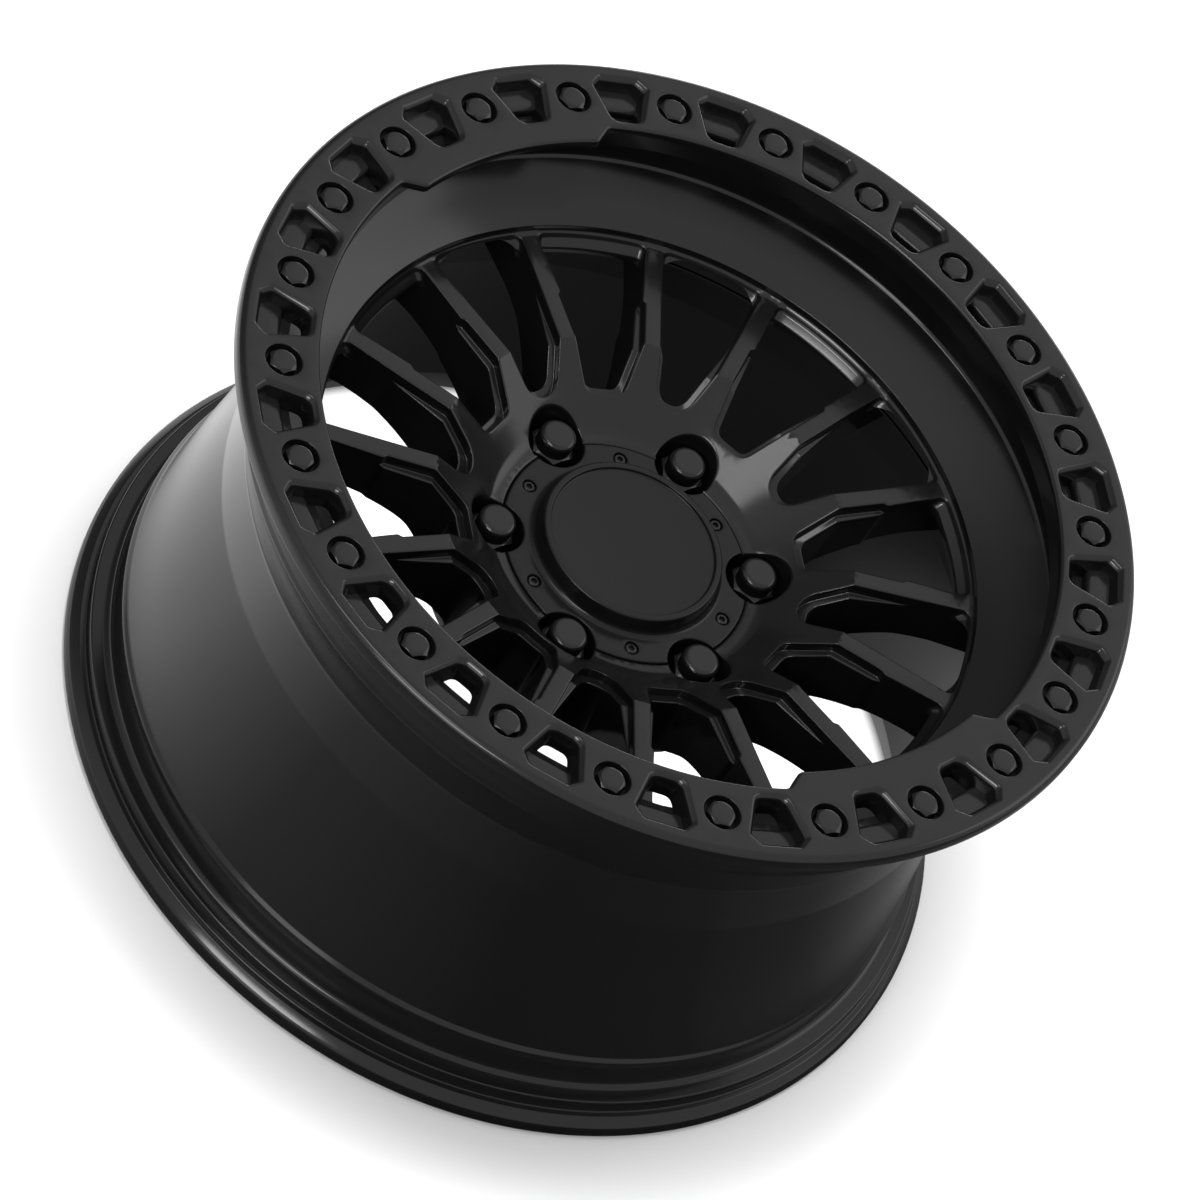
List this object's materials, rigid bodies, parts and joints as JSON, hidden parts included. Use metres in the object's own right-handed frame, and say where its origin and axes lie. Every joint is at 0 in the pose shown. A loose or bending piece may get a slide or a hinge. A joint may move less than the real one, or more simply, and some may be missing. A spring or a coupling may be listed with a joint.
{
  "type": "wheel rim",
  "caption": "Deep-dish cast wheel rim with straight spokes, a bolted outer bead clamp ring, lug nuts and a screwed centre cap",
  "frame": {"origin": "on the wheel's axis in the plane of the hub mounting face", "axes": "+Z is the wheel's axis and points out of the face; +X points at one lug, one ring bolt and the middle of a ring tab"},
  "size_m": [0.472, 0.472, 0.2605],
  "materials": {
    "coated_casting": "satin",
    "coated_ring": "satin",
    "dark_bolts": "satin",
    "cap_plastic": "satin",
    "dark_screws": "satin",
    "dark_nuts": "gloss"
  },
  "bodies": {
    "root": {"cast_wheel": "coated_casting", "bead_ring": "coated_ring", "ring_bolts": "dark_bolts", "centre_cap": "cap_plastic", "cap_screws": "dark_screws", "lug_nuts": "dark_nuts"}
  },
  "joints": []
}
